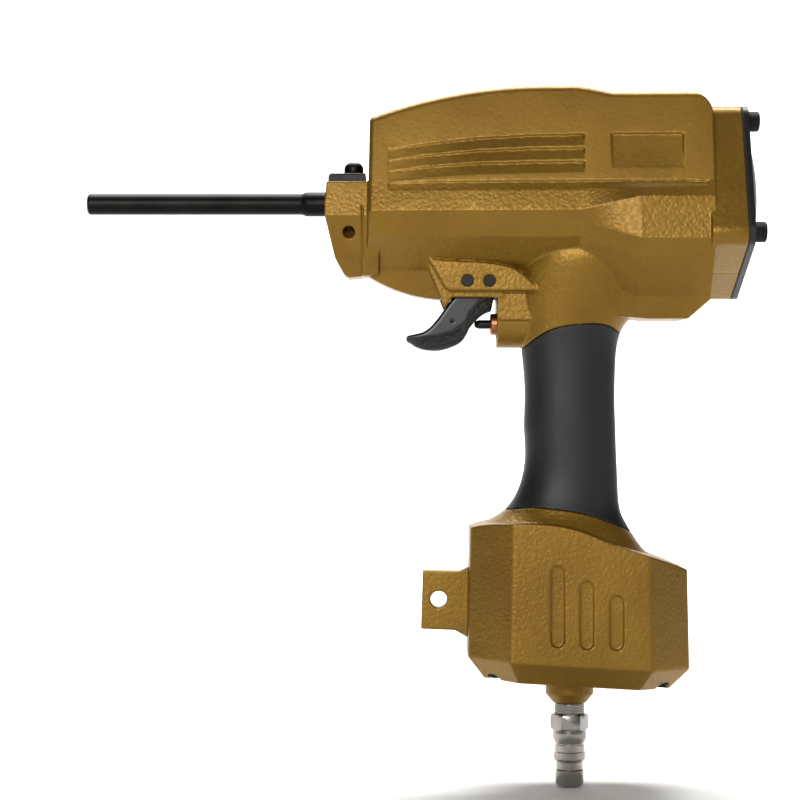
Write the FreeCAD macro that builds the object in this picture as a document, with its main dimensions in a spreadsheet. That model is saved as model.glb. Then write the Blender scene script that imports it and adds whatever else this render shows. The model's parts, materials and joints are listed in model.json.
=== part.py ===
"""Single-shot pneumatic nail gun with a long nose tube, as a parametric document in millimetres.

X runs back along the driver axis from the muzzle, which is the origin. Z is up, towards the top of
the cylinder housing, and Y runs across the tool. The handle hangs down on a vertical axis at handle_x.
Every size that can be chosen by itself is a cell of the sheet "dims"; DERIVED holds the places that
follow from them. formula() turns either into an expression, and value() reads its number.
"""

import FreeCAD
import Part
import math
import os
import re
import Sketcher
from FreeCAD import Placement, Rotation, Vector

DIMENSIONS = {
    # nose tube and driver
    "nose_face": 101.2, "tube_od": 8.9, "tube_bore": 5.6, "mouth_bore": 6.4, "mouth_depth": 24.0,
    "shank_exposed": 8.2, "shank_od": 10.4,
    "shank_seat": 16.8, "muzzle_round": 1.6, "driver_dia": 5.44, "driver_proud": 6.0,
    # driver guide in the neck
    "guide_od": 12.8, "guide_flange_od": 26.0, "guide_flange": 3.0, "neck_lip": 2.0, "neck_groove": 0.5,
    # cylinder stack along the driver axis
    "neck_length": 17.6, "bulkhead": 5.2, "bumper_length": 19.0, "stroke": 85.0, "stop_gap": 0.5,
    "piston_length": 14.0, "rear_gap": 2.5, "valve_gap": 0.2, "valve_room": 27.0, "collar_length": 13.0,
    # cylinder sizes across the driver axis
    "cylinder_bore": 44.0, "liner_wall": 2.0, "liner_lap": 8.0, "liner_seat": 14.0,
    "chamber_bore": 54.0, "rear_bore": 58.0, "running_gap": 0.08, "seat_gap": 0.05,
    "liner_collar": 6.0, "liner_collar_at": 62.0, "ring_section": 2.4,
    # rear cap and its bolts
    "bolt_circle": 36.3, "lobe_radius": 6.2, "first_bolt_angle": 67.0,
    "gasket": 0.6, "cap_flange": 2.2, "dome_rise": 5.2, "dome_radius": 31.0, "skirt_wall": 2.3,
    "skirt_length": 23.0, "bolt_dia": 5.0, "bolt_hole_gap": 0.25, "bolt_head_dia": 8.5,
    "bolt_head": 5.0, "bolt_reach": 14.0, "bolt_socket": 4.0, "low_head": 1.8, "low_head_dia": 9.5,
    "low_head_recess": 1.2,
    # head valve
    "head_valve_disc": 4.8, "head_valve_length": 14.0, "head_valve_wall": 3.6,
    "head_spring_radius": 15.0, "head_spring_wire": 1.8, "head_spring_turns": 5.0,
    # outside of the cylinder housing
    "crown_height": 47.8, "front_height": 34.5, "rear_height": 44.9, "panel_width": 26.0,
    "panel_growth": 0.051, "panel_lean": 13.5, "belly_depth": 49.1, "band_width": 37.4,
    "neck_height": 7.9, "neck_width": 22.5, "neck_depth": 31.7, "flare_start": 55.0, "flare_end": 31.0,
    "ledge_height": 7.5, "groove_depth": 0.7, "crown_round": 3.2, "brow_round": 2.0,
    "label_length": 29.5, "label_height": 14.5,
    # handle and grip
    "handle_x": 204.6, "grip_top": 52.0, "grip_wall": 3.0, "handle_seam": 120.0,
    "air_hole_length": 9.5, "air_hole_width": 8.0,
    # trigger bracket and trigger
    "bracket_half": 16.7, "bracket_floor": 37.4, "slot_half": 10.5, "trigger_half": 10.0,
    "pivot_x": 160.9, "pin_drop": 33.2, "pin_spacing": 9.2, "pin_dia": 4.6, "pin_gap": 0.05,
    "dimple_dia": 1.4, "dimple_depth": 0.5,
    # trigger valve
    "block_front": 173.5, "block_half": 13.0, "block_floor": 62.5, "valve_drop": 51.0,
    "valve_od": 12.0, "valve_length": 22.0, "valve_bore": 6.4, "bush_od": 9.2, "bush_proud": 2.7,
    "bush_length": 9.2, "stem_dia": 3.8, "stem_proud": 6.8, "plunger_head": 3.0,
    "valve_spring_wire": 0.6, "valve_spring_turns": 7.0,
    # air chamber under the handle
    "chamber_front": 161.0, "chamber_rear": 254.0, "chamber_half": 30.0, "chamber_corner": 17.0,
    "chamber_wall": 3.5, "chamber_draft": 1.3, "base_drop": 192.6, "base_tilt": 3.3, "base_height": 9.0,
    "base_chamfer": 7.5, "base_gasket": 0.5, "base_plate": 4.0, "pill_width": 5.8, "pill_depth": 0.7,
    "neck_screw_offset": 12.8, "neck_screw_dia": 4.0, "neck_screw_reach": 9.0, "neck_floor": 141.0,
    "base_screw_inset": 12.8, "base_screw_dia": 4.0, "base_seat": 4.6,
    # hanging lug
    "lug_front": 141.5, "lug_top": 155.3, "lug_height": 24.7, "lug_half": 4.0, "lug_hole_dia": 7.0,
    "lug_hole_x": 149.0, "lug_hole_drop": 167.5,
    # air inlet
    "boss_dia": 20.4, "boss_height": 10.0, "inlet_thread": 13.2, "plug_hex": 14.0, "plug_tip_dia": 12.0,
    "plug_hex_height": 6.8, "plug_bore": 7.0, "plug_length": 45.5, "thread_seat": 7.0,
    # nose clamp and set screws
    "clamp_height": 4.6, "clamp_half": 8.5, "wear_plate": 3.1, "clamp_screw_x": 113.0,
    "set_screw_x": 111.3, "set_screw_angle": 33.0, "set_screw_dia": 5.0, "set_screw_length": 10.0,
}

DERIVED = {
    "body_front": "nose_face + neck_length",
    "chamber_floor": "body_front + bulkhead",
    "bumper_front": "chamber_floor + guide_flange",
    "bumper_rear": "bumper_front + bumper_length",
    "piston_front": "bumper_rear + stop_gap + stroke",
    "piston_rear": "piston_front + piston_length",
    "liner_front": "bumper_rear - liner_lap",
    "liner_rear": "piston_rear + rear_gap",
    "valve_front": "liner_rear + valve_gap",
    "collar_rear": "liner_rear + valve_room",
    "body_rear": "collar_rear - collar_length",
    "cap_face": "collar_rear + gasket + cap_flange",
    "cap_inside": "collar_rear - 5",
    "collar_front": "liner_rear - liner_collar_at",
    "skirt_front": "collar_rear + gasket - skirt_length",
    "skirt_bore": "rear_bore / 2 - seat_gap - skirt_wall",
    "driver_tip": "stroke - driver_proud",
    "liner_radius": "cylinder_bore / 2 + liner_wall",
    "stop_pin_x": "pivot_x + pin_spacing",
    "stem_tip": "block_front - bush_proud - stem_proud",
    "bush_rear": "block_front - bush_proud + bush_length",
    "valve_rear": "block_front + 0.5 + valve_length",
    "boss_floor": "base_drop + base_gasket + base_height + boss_height - 0.6",
}

doc = FreeCAD.newDocument("nail_gun")
sheet = doc.addObject("Spreadsheet::Sheet", "dims")
for row, (alias, number) in enumerate(DIMENSIONS.items(), start=1):
    sheet.set(f"A{row}", alias)
    sheet.set(f"B{row}", str(number))
    sheet.setAlias(f"B{row}", alias)
doc.recompute()

nodes = {}


# ---------------------------------------------------------------- expressions and helpers

def formula(text):
    """The expression for a sum of sheet cells and DERIVED places."""
    def swap(found):
        word = found.group()
        if word in DERIVED:
            return "(" + formula(DERIVED[word]) + ")"
        return "dims." + word if word in DIMENSIONS else word
    return re.sub(r"[a-z][a-z_0-9]*", swap, str(text))


def value(text):
    """The number that an expression has now."""
    return float(sheet.evalExpression(formula(text)))


def place(item, x="0", y="0", z="0", turn=None):
    """Places an object by expressions, turned by a Rotation if one is given."""
    if turn is not None:
        item.Placement = Placement(Vector(), turn)
    for axis, text in (("x", x), ("y", y), ("z", z)):
        if text != "0":
            item.setExpression("Placement.Base." + axis, formula(text))
    return item


ALONG_X = Rotation(Vector(0, 1, 0), 90)
ALONG_Y = Rotation(Vector(1, 0, 0), -90)
UPRIGHT = Rotation()


def cylinder(name, radius, height, x="0", y="0", z="0", turn=ALONG_X):
    item = doc.addObject("Part::Cylinder", name)
    item.setExpression("Radius", formula(radius))
    item.setExpression("Height", formula(height))
    return place(item, x, y, z, turn)


def hexagon(name, across_flats, height, x="0", y="0", z="0", turn=ALONG_X):
    item = doc.addObject("Part::Prism", name)
    item.Polygon = 6
    item.setExpression("Circumradius", formula(f"({across_flats}) / 2 / cos(30)"))
    item.setExpression("Height", formula(height))
    return place(item, x, y, z, turn)


def cut(name, base, tool):
    item = doc.addObject("Part::Cut", name)
    item.Base, item.Tool = base, tool
    return item


def fuse(name, *shapes):
    item = doc.addObject("Part::MultiFuse", name)
    item.Shapes = list(shapes)
    return item


def group(name, items):
    item = doc.addObject("Part::Compound", name)
    item.Links = list(items)
    return item


def node(label, item):
    """Registers an object as the sub-part that is written to parts/label.step."""
    item.Label = label
    nodes[label] = item
    return item


def feature(label, make):
    """A sub-part whose shape make() works out with Part's own functions."""
    item = doc.addObject("Part::Feature", label)
    item.Shape = make()
    return node(label, item)


def outline_sketch(body, plane, corners):
    """A closed outline on an origin plane, with each corner held by expressions."""
    sketch = body.newObject("Sketcher::SketchObject", body.Name + "_outline")
    face = [f for f in body.Origin.OriginFeatures if f.Role == plane][0]
    sketch.AttachmentSupport = [(face, "")]
    sketch.MapMode = "FlatFace"
    points = [Vector(value(a), value(b), 0) for a, b in corners]
    count = len(points)
    for i in range(count):
        sketch.addGeometry(Part.LineSegment(points[i], points[(i + 1) % count]), False)
    for i in range(count):
        sketch.addConstraint(Sketcher.Constraint("Coincident", i, 2, (i + 1) % count, 1))
    for i, (a, b) in enumerate(corners):
        for kind, text, axis in (("DistanceX", a, -2), ("DistanceY", b, -1)):
            if text == "0":
                sketch.addConstraint(Sketcher.Constraint("PointOnObject", i, 1, axis))
            else:
                held = sketch.addConstraint(Sketcher.Constraint(kind, -1, 1, i, 1, value(text)))
                sketch.setExpression(f"Constraints[{held}]", formula(text))
    return sketch


def turned(label, corners, x="0", y="0", z="0", upright=False):
    """A turned piece. Corners are (along, radius) about X, or (radius, height) about Z if upright."""
    body = doc.addObject("PartDesign::Body", label)
    sketch = outline_sketch(body, "XZ_Plane", corners)
    spin = body.newObject("PartDesign::Revolution", label + "_turned")
    spin.Profile = sketch
    spin.ReferenceAxis = (sketch, ["V_Axis" if upright else "H_Axis"])
    spin.Angle = 360
    sketch.Visibility = False
    place(body, x, y, z)
    return node(label, body)


def ring(name, radius, section, x, z="0", turn=ALONG_X):
    """An O-ring: radius is to the middle of its section."""
    item = doc.addObject("Part::Torus", name)
    item.setExpression("Radius1", formula(radius))
    item.setExpression("Radius2", formula(section))
    return place(item, x, "0", z, turn)


def spring(pitch_radius, wire, turns, start, end):
    """A compression spring along X from start to end, as a swept wire."""
    free = end - start - wire
    helix = Part.makeHelix(free / turns, free, pitch_radius)
    hoop = Part.Wire(Part.makeCircle(wire / 2, Vector(pitch_radius, 0, 0), Vector(0, 1, 0)))
    coil = Part.Wire(helix.Edges).makePipeShell([hoop], True, True)
    coil.Placement = Placement(Vector(start + wire / 2, 0, 0), ALONG_X)
    return coil


def bolt_place(index, radius="bolt_circle"):
    """Expressions for the Y and Z of cap bolt number index."""
    angle = f"(first_bolt_angle - {90 * index})"
    return f"-({radius}) * cos({angle})", f"({radius}) * sin({angle})"


# ---------------------------------------------------------------- shapes worked out by function

def mirrored(shape):
    return shape.mirror(Vector(0, 0, 0), Vector(0, 1, 0))


def both_sides(shape):
    return shape.fuse(mirrored(shape))


def slab(points, half):
    """A plate: the closed XZ outline through points, extruded from -half to +half across Y."""
    corners = [Vector(x, -half, z) for x, z in points]
    wire = Part.makePolygon(corners + corners[:1])
    return Part.Face(wire).extrude(Vector(0, 2 * half, 0))


def curve_slab(edges, half):
    """A plate from a list of connected XZ edges, extruded from -half to +half across Y."""
    face = Part.Face(Part.Wire(edges))
    face.translate(Vector(0, -half, 0))
    return face.extrude(Vector(0, 2 * half, 0))


def line(a, b):
    return Part.makeLine(Vector(a[0], 0, a[1]), Vector(b[0], 0, b[1]))


def smooth(points):
    """A spline edge through XZ points."""
    curve = Part.BSplineCurve()
    curve.interpolate([Vector(x, 0, z) for x, z in points])
    return curve.toShape()


def rod(radius, x0, x1, y=0, z=0):
    return Part.makeCylinder(radius, x1 - x0, Vector(x0, y, z), Vector(1, 0, 0))


def edges_of(shape, wanted):
    """The edges whose middle point and direction satisfy wanted(middle, direction)."""
    found = []
    for edge in shape.Edges:
        middle = edge.valueAt((edge.FirstParameter + edge.LastParameter) / 2)
        ends = edge.valueAt(edge.LastParameter) - edge.valueAt(edge.FirstParameter)
        if ends.Length > 1e-6 and wanted(middle, ends.normalize()):
            found.append(edge)
    return found


def panel_half(x, z):
    """Half width of the housing's leaning side panel."""
    lean = math.tan(math.radians(value("panel_lean")))
    growth = value("panel_growth") * (x - value("body_front"))
    return value("panel_width") + growth - lean * (z - value("ledge_height"))


def housing_section(x, creases):
    """A closed section of the cylinder housing: the panel down to the ledge, then the creases."""
    top, ledge = value("crown_height") + 12, value("ledge_height")
    half = [(panel_half(x, top), top), (panel_half(x, ledge), ledge)] + creases
    near = [Vector(x, -d, z) for d, z in half]
    far = [Vector(x, d, z) for d, z in reversed(half)]
    return Part.makePolygon(near + far + near[:1])


def barrel_profile():
    """Side outline of the cylinder housing, as a plate that trims its top and belly."""
    front, rear = value("body_front"), value("body_rear")
    high, step, low = value("crown_height"), value("rear_height"), value("belly_depth")
    nose_top = value("front_height")
    crown_x = rear - 65
    foot = value("neck_depth") - 0.6
    edges = [
        Part.Arc(Vector(front + 1.2, 0, nose_top),
                 Vector((front + crown_x) / 2, 0, nose_top + 0.78 * (high - nose_top)),
                 Vector(crown_x, 0, high)).toShape(),
        line((crown_x, high), (rear - 57, high)),
        smooth([(rear - 57, high), (rear - 50, high - 0.9), (rear - 45, high - 2.0), (rear - 40, step)]),
        line((rear - 40, step), (rear - 8, step)),
        Part.Arc(Vector(rear - 8, 0, step), Vector(rear - 2.9, 0, step - 2.6),
                 Vector(rear, 0, step - 8)).toShape(),
        line((rear, step - 8), (rear, 8 - low)),
        line((rear, 8 - low), (rear - 9, -low)),
        line((rear - 9, -low), (rear - 26, -low)),
        line((rear - 26, -low), (front + 29, -foot - 9.4)),
        Part.Arc(Vector(front + 29, 0, -foot - 9.4), Vector(front + 12, 0, -foot - 5.6),
                 Vector(front, 0, -foot + 0.5)).toShape(),
        line((front, -foot + 0.5), (front + 1.2, nose_top)),
    ]
    return curve_slab(edges, 80)


def barrel():
    """Faceted outside of the cylinder housing, flared at the rear over the head valve."""
    front, rear = value("body_front"), value("body_rear")
    wide, low = value("band_width"), value("belly_depth")
    slim = housing_section(front - 1, [(29.0, -5.0), (27.2, -10), (24.6, -15.5), (9, -29.0), (2, -60)])
    middle = housing_section(rear - value("flare_start"),
                             [(33.5, -5.0), (31, -10), (27.6, -15.5), (13, -28.5), (7, -60)])
    creases = [(wide - 1.2, 0.5), (wide, -17), (wide - 4.4, -24), (wide - 17.4, -40), (wide - 25.4, -60)]
    flared = housing_section(rear - value("flare_end"), creases)
    back = housing_section(rear + 1, creases)
    hull = Part.makeLoft([slim, middle, flared, back], True, True).common(barrel_profile())
    crown = edges_of(hull, lambda m, d: abs(m.y) > 5 and m.z > value("front_height") - 0.5 and abs(d.x) > 0.8)
    hull = hull.makeFillet(value("crown_round"), crown)
    brow = edges_of(hull, lambda m, d: m.x < front + 2.5 and m.z > -20 and abs(d.x) < 0.5)
    return hull.makeFillet(value("brow_round"), brow)


def neck(inset=0.0):
    """The forward neck that holds the driver guide, with its sloping front face. inset slims it."""
    face, front = value("nose_face"), value("body_front")
    top, deep, wide = value("neck_height"), value("neck_depth") - inset, value("neck_width") - inset
    half = [(wide - 2.6, top), (wide, -6.3), (wide - 4.5, -23.7), (8, -deep - 3), ]
    near = [Vector(face - 5, -d, z) for d, z in half]
    far = [Vector(face - 5, d, z) for d, z in reversed(half)]
    bar = Part.Face(Part.makePolygon(near + far + near[:1])).extrude(Vector(front - face + 10, 0, 0))
    outline = [(face + 0.8, top), (face, -1), (face, -6), (face + 4.2, -23.7), (face + 8, -deep + 1.2),
               (face + 10, -deep), (front - 3, -deep + 0.4), (front + 5, -deep + 1.5), (front + 5, top)]
    return bar.common(slab(outline, 60))


def flange_block(start, rear):
    """Rounded square with a cap bolt at each corner, between two places on the axis."""
    round_off, corner = value("lobe_radius"), value("bolt_circle") / math.sqrt(2)
    half = corner + round_off
    block = Part.makeBox(rear - start, 2 * half, 2 * half, Vector(start, -half, -half))
    block = block.makeFillet(round_off, edges_of(block, lambda m, d: abs(d.x) > 0.5))
    # bolt angles run from -Y up to +Z, which is backwards about +X
    block.rotate(Vector(0, 0, 0), Vector(1, 0, 0), 45 - value("first_bolt_angle"))
    return block


def collar():
    """Rear collar that carries the cap, flat between its bolts."""
    return flange_block(value("body_rear") - 2, value("collar_rear"))


def trigger_bracket():
    """Ears and hood that carry the trigger, under the cylinder housing."""
    half, floor = value("bracket_half"), value("bracket_floor")
    x = value("pivot_x")
    top = smooth([(x - 16.4, -24), (x, -25.2), (x + 13, -26.4), (x + 19, -28), (x + 23.5, -30.8),
                  (x + 30, -floor)])
    foot = [(x + 30, -floor), (x - 7.5, -floor), (x - 9.4, -floor + 1.3), (x - 16.4, -24)]
    ears = curve_slab([top] + [line(a, b) for a, b in zip(foot, foot[1:])], half)
    hood = slab([(x - 17.7, -22), (x - 16.7, -27), (x - 9.6, -floor - 7.2), (x - 6.4, -floor - 2.6),
                 (x + 15, -floor - 2.6), (x + 15, -22)], half - 3.5)
    return ears.fuse(hood)


def valve_block():
    """Block at the handle's root that holds the trigger valve."""
    front, half, floor = value("block_front"), value("block_half"), value("block_floor")
    drum = value("valve_drop")
    block = Part.makeBox(30, 2 * half, floor - 36, Vector(front, -half, -floor))
    round_off = rod(half - 1.5, front - 1, front + 40, 0, -drum + 1.5)
    keep = Part.makeBox(32, 2 * half, drum - 36, Vector(front - 1, -half, -drum + 1.5)).fuse(round_off)
    block = block.common(keep)
    # the rubber grip's arched end runs under the block's rear
    room = Part.makeBox(40, 60, 40, Vector(value("handle_x") - 21.4, -30, -90))
    return block.cut(room.cut(above_grip()))


def handle_section(z, front, rear, half, inset):
    """A closed rounded section of the handle at height z."""
    middle, reach = (front + rear) / 2, (rear - front) / 2 - inset
    power = 2 / 2.3
    points = []
    for step in range(24):
        angle = 2 * math.pi * (step + 0.5) / 24
        c, s = math.cos(angle), math.sin(angle)
        points.append(Vector(middle + reach * math.copysign(abs(c) ** power, c),
                             (half - inset) * math.copysign(abs(s) ** power, s), z))
    curve = Part.BSplineCurve()
    curve.interpolate(points, PeriodicFlag=True)
    return Part.Wire(curve.toShape())


HANDLE_STATIONS = (  # height, front and rear from the handle axis, half width
    (-20, -22.0, 38.0, 23.0), (-30, -24.0, 37.0, 22.0), (-38, -25.0, 34.5, 20.0), (-46, -24.0, 28.6, 18.2),
    (-54, -21.6, 21.8, 16.8), (-62, -20.4, 19.8, 16.2), (-72, -19.4, 19.2, 16.0), (-95, -19.3, 19.4, 16.0),
    (-114, -19.7, 20.1, 16.2), (-121, -21.8, 20.4, 16.8), (-128, -26.0, 21.0, 18.2), (-133, -32.5, 22.6,
            20.4),
    (-138, -40.6, 25.4, 23.6), (-146, -41.5, 31.0, 26.0), (-152, -41.5, 41.0, 27.0),
)


def handle_loft(inset=0.0):
    """The whole handle with its flared ends; inset gives the core under the rubber grip."""
    x = value("handle_x")
    rings = [handle_section(z, x + a, x + b, w, inset) for z, a, b, w in HANDLE_STATIONS]
    return Part.makeLoft(rings, True, False)


def layer(low, high):
    """A wide block between two heights."""
    return Part.makeBox(400, 200, high - low, Vector(0, -100, low))


def above_grip():
    """Everything above the arched upper end of the rubber grip."""
    x, top = value("handle_x"), value("grip_top")
    arch = smooth([(x - 34, -top - 19), (x - 21, -top - 9.9), (x - 11.5, -top - 2.8), (x + 6, -top + 0.8),
                   (x + 15, -top + 0.2), (x + 21.4, -top - 3.4), (x + 34, -top - 17)])
    corners = [(x + 34, -top - 17), (x + 80, -top - 17), (x + 80, 10), (x - 80, 10), (x - 80, -top - 19),
               (x - 34, -top - 19)]
    return curve_slab([arch] + [line(a, b) for a, b in zip(corners, corners[1:])], 60)


def below_grip():
    """Everything below the sloping lower end of the rubber grip."""
    x = value("handle_x")
    rim = smooth([(x - 50, -134), (x - 27, -129.6), (x - 16.8, -128.4), (x - 6.8, -128.9), (x + 7.2, -131.4),
                  (x + 18.2, -135.5), (x + 24, -138.2), (x + 50, -152)])
    return curve_slab([rim, line((x + 50, -152), (x + 50, -240)), line((x + 50, -240), (x - 50, -240)),
                       line((x - 50, -240), (x - 50, -134))], 60)


def grip_sleeve():
    """Rubber sleeve on the handle core, a hair clear of the castings above, inside and below it."""
    gap = value("seat_gap")
    upper, lower = above_grip(), below_grip()
    upper.translate(Vector(0, 0, -gap))
    lower.translate(Vector(0, 0, gap))
    return handle_loft().cut(handle_loft(value("grip_wall") - gap)).cut(upper).cut(lower)


def chamber_hull(inset=0.0, drop=0.0):
    """Eight-sided chamber box, lofted with draft. drop lowers the roof, inset shrinks the plan."""
    front, rear = value("chamber_front") + inset, value("chamber_rear") - inset
    half, corner = value("chamber_half") - inset, value("chamber_corner") - 0.4 * inset
    rings = []
    for z, draft in ((-128 - drop, value("chamber_draft")), (-215, -0.4)):
        f, r, w = front + draft, rear - draft, half - draft * 0.6
        plan = [(f, w - corner), (f + corner, w), (r - corner, w), (r, w - corner)]
        near = [Vector(x, -y, z) for x, y in plan]
        far = [Vector(x, y, z) for x, y in reversed(plan)]
        rings.append(Part.makePolygon(near + far + near[:1]))
    return Part.makeLoft(rings, True, True)


def chamber_roof(drop=0.0):
    """Plate under the chamber's falling roof line, down to the tilted joint with the base."""
    x = value("handle_x")
    front, rear = value("chamber_front"), value("chamber_rear")
    slope = math.tan(math.radians(value("base_tilt")))
    joint = -value("base_drop")
    roof = smooth([(front - 3, -138.6 - drop), (x - 38, -135.4 - drop), (x - 27, -134.4 - drop),
                   (x - 9, -134.8 - drop),
                   (x + 2, -137.0 - drop), (x + 15, -142.2 - drop), (x + 32, -147.9 - drop), (rear + 3,
                           -156.2 - drop)])
    left, right = joint - slope * (front - 3 - x), joint - slope * (rear + 3 - x)
    return curve_slab([roof, line((rear + 3, -156.2 - drop), (rear + 3, right)),
                       line((rear + 3, right), (front - 3, left)),
                       line((front - 3, left), (front - 3, -138.6 - drop))], 60)


def lug():
    """Flat hanging lug on the chamber's front face."""
    front, top, tall = value("lug_front"), value("lug_top"), value("lug_height")
    root = value("chamber_front") + 4
    plate = slab([(front + 0.8, -top), (root - 7, -top - 0.3), (root - 3, -top + 1.6), (root, -top + 4),
                  (root, -top - tall - 6),
                  (root - 4.5, -top - tall - 3.2), (root - 9, -top - tall - 0.6), (front,
                          -top - tall)], value("lug_half"))
    hole = Part.makeCylinder(value("lug_hole_dia") / 2, 40,
                             Vector(value("lug_hole_x"), -20, -value("lug_hole_drop")),
                             Vector(0, 1, 0))
    return plate, hole


def pill(x, top, bottom, width):
    """A long rounded pocket cutter in XZ, from top to bottom, extruded across Y."""
    r = width / 2
    edges = [line((x - r, top - r), (x - r, bottom + r)),
             Part.Arc(Vector(x - r, 0, bottom + r), Vector(x, 0, bottom),
                      Vector(x + r, 0, bottom + r)).toShape(),
             line((x + r, bottom + r), (x + r, top - r)),
             Part.Arc(Vector(x + r, 0, top - r), Vector(x, 0, top), Vector(x - r, 0, top - r)).toShape()]
    return curve_slab(edges, 80)


def air_chamber():
    """Chamber box with the neck that carries it under the handle."""
    outer = chamber_hull().common(chamber_roof())
    outer = outer.makeFillet(3.0, edges_of(outer, lambda m, d: abs(d.z) > 0.9))
    x, seam, floor = value("handle_x"), value("handle_seam") + value("base_gasket"), value("neck_floor")
    flare = handle_loft().common(below_grip())
    throat = handle_loft(value("grip_wall")).common(layer(-floor - 4, -seam))
    shape = outer.fuse([flare, throat])
    inside = chamber_hull(value("chamber_wall"), 12).common(chamber_roof(value("chamber_wall") + 1.5))
    inside = inside.common(layer(-300, -floor))
    plate, hole = lug()
    shape = shape.cut(inside).fuse(plate.cut(inside)).cut(hole).cut(air_passage(-floor - 20, -seam + 5))
    dia, head = value("neck_screw_dia"), value("neck_screw_dia") * 0.9 + 0.3
    for side in (-1, 1):
        spot = Vector(x + side * value("neck_screw_offset"), 0, -floor)
        shape = shape.cut(Part.makeCylinder(dia / 2 + 0.15, 60, spot))
        shape = shape.cut(Part.makeCylinder(head, 24, spot, Vector(0, 0, -1)))
    depth = value("chamber_half") - value("pill_depth") - 0.45
    skin = Part.makeBox(200, 2 * depth, 120, Vector(100, -depth, -230))
    for pitch, top, bottom in ((-7.0, -151.4, -185.2), (5.0, -157.6, -186.0), (17.3, -163.6, -186.4)):
        shape = shape.cut(pill(x + pitch, top, bottom, value("pill_width")).cut(skin))
    posts = chamber_posts(-value("base_drop") + 4,
                          -value("base_drop") + 18).common(chamber_hull(1)).common(chamber_roof())
    shape = shape.fuse(posts)
    for spot in base_screw_spots():
        shape = shape.cut(Part.makeCylinder(value("base_screw_dia") / 2 + 0.02, 14, spot + Vector(0, 0, 0)))
    return shape.removeSplitter()


def chamber_posts(low, high):
    """Screw posts in the chamber's corners, from below the joint up to high."""
    posts = [Part.makeCylinder(value("base_screw_inset") - value("chamber_wall") + 0.8, high - low + 12,
                               Vector(spot.x, spot.y, low - 12))
             for spot in base_screw_spots()]
    return posts[0].fuse(posts[1:])


def air_passage(low, high):
    """Oval air passage up the handle."""
    x = value("handle_x")
    ellipse = Part.Ellipse(Vector(x, 0, low), value("air_hole_length"), value("air_hole_width"))
    return Part.Face(Part.Wire(ellipse.toShape())).extrude(Vector(0, 0, high - low))


def base_frame():
    """Placement of the tilted base: local z is 0 on the joint with the chamber."""
    tilt = Rotation(Vector(0, 1, 0), value("base_tilt"))
    return Placement(Vector(value("handle_x"), 0, -value("base_drop")), tilt)


def base_ring(z, inset):
    x = value("handle_x")
    f, r = value("chamber_front") - x + inset, value("chamber_rear") - x - inset
    w, corner = value("chamber_half") - inset, value("chamber_corner") - 0.4 * inset
    plan = [(f, w - corner), (f + corner, w), (r - corner, w), (r, w - corner)]
    near = [Vector(a, -b, z) for a, b in plan]
    far = [Vector(a, b, z) for a, b in reversed(plan)]
    return Part.makePolygon(near + far + near[:1])


def base_screw_spots():
    """Centres of the base screws on the joint height of the handle axis."""
    inset = value("base_screw_inset")
    front, rear = value("chamber_front") + inset, value("chamber_rear") - inset
    across = value("chamber_half") - value("chamber_corner") - 1.5
    slope = math.tan(math.radians(value("base_tilt")))
    return [Vector(a, b, -value("base_drop") - slope * (a - value("handle_x")))
            for a in (front, rear) for b in (-across, across)]


def chamber_base():
    """Bottom cover with chamfered rim, inlet boss and screw holes."""
    gap, tall = value("base_gasket"), value("base_height")
    chamfer, plate, wall = value("base_chamfer"), value("base_plate"), value("chamber_wall")
    low = -gap - tall
    rim = Part.makeLoft([base_ring(-gap, 0), base_ring(low, chamfer)], True, True)
    hollow = Part.makeLoft([base_ring(1, wall), base_ring(low + plate, wall + chamfer - 2.5)], True, True)
    rim.Placement = hollow.Placement = base_frame()
    x, floor, r = value("handle_x"), -value("boss_floor"), value("boss_dia") / 2
    stub = Part.makeCylinder(r, value("boss_height") + 2, Vector(x, 0, floor + 4))
    cone = Part.makeCone(r - 3.2, r, 4, Vector(x, 0, floor))
    posts = chamber_posts(-220, -150).common(rim)
    shape = rim.cut(hollow).fuse([posts, stub, cone])
    shape = shape.cut(Part.makeCylinder(value("inlet_thread") / 2 + 0.02, 60, Vector(x, 0, floor - 10)))
    dia = value("base_screw_dia")
    for spot in base_screw_spots():
        shape = shape.cut(Part.makeCylinder(dia / 2 + 0.15, 40, Vector(spot.x, spot.y, -220)))
        shape = shape.cut(Part.makeCylinder(dia * 0.9 + 0.3, 30,
                                            spot - Vector(0, 0, value("base_seat") + 30)))
    return shape


def base_gasket():
    """Flat gasket between the chamber and its base."""
    gap, wall = value("base_gasket"), value("chamber_wall")
    sheet_part = Part.makeLoft([base_ring(0, 0.3), base_ring(-gap, 0.3)], True, True)
    window = Part.makeLoft([base_ring(1, wall), base_ring(-gap - 1, wall)], True, True)
    sheet_part.Placement = window.Placement = base_frame()
    shape = sheet_part.cut(window).fuse(chamber_posts(-220, -150).common(sheet_part))
    for spot in base_screw_spots():
        shape = shape.cut(Part.makeCylinder(value("base_screw_dia") / 2 + 0.15, 60,
                                            Vector(spot.x, spot.y, -220)))
    return shape


def seam_gasket():
    """Gasket between the handle core and the chamber neck."""
    seam, x = value("handle_seam"), value("handle_x")
    shape = handle_loft(value("grip_wall")).common(layer(-seam - value("base_gasket"), -seam))
    shape = shape.cut(air_passage(-seam - 5, -seam + 5))
    for side in (-1, 1):
        spot = Vector(x + side * value("neck_screw_offset"), 0, -seam - 5)
        shape = shape.cut(Part.makeCylinder(value("neck_screw_dia") / 2 + 0.15, 10, spot))
    return shape


def side_half(x, z):
    """Half width of the housing's side near the ledge, with the flare at the rear."""
    ledge, rear = value("ledge_height"), value("body_rear")
    plain = panel_half(x, z)
    start, end = rear - value("flare_start"), rear - value("flare_end")
    if z >= ledge or x <= start:
        return plain
    share = min(1.0, (x - start) / (end - start))
    flared = panel_half(x, ledge) + (value("band_width") - 1.2 - panel_half(x,
            ledge)) * (ledge - z) / (ledge - 0.5)
    return plain + (flared - plain) * share


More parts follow.
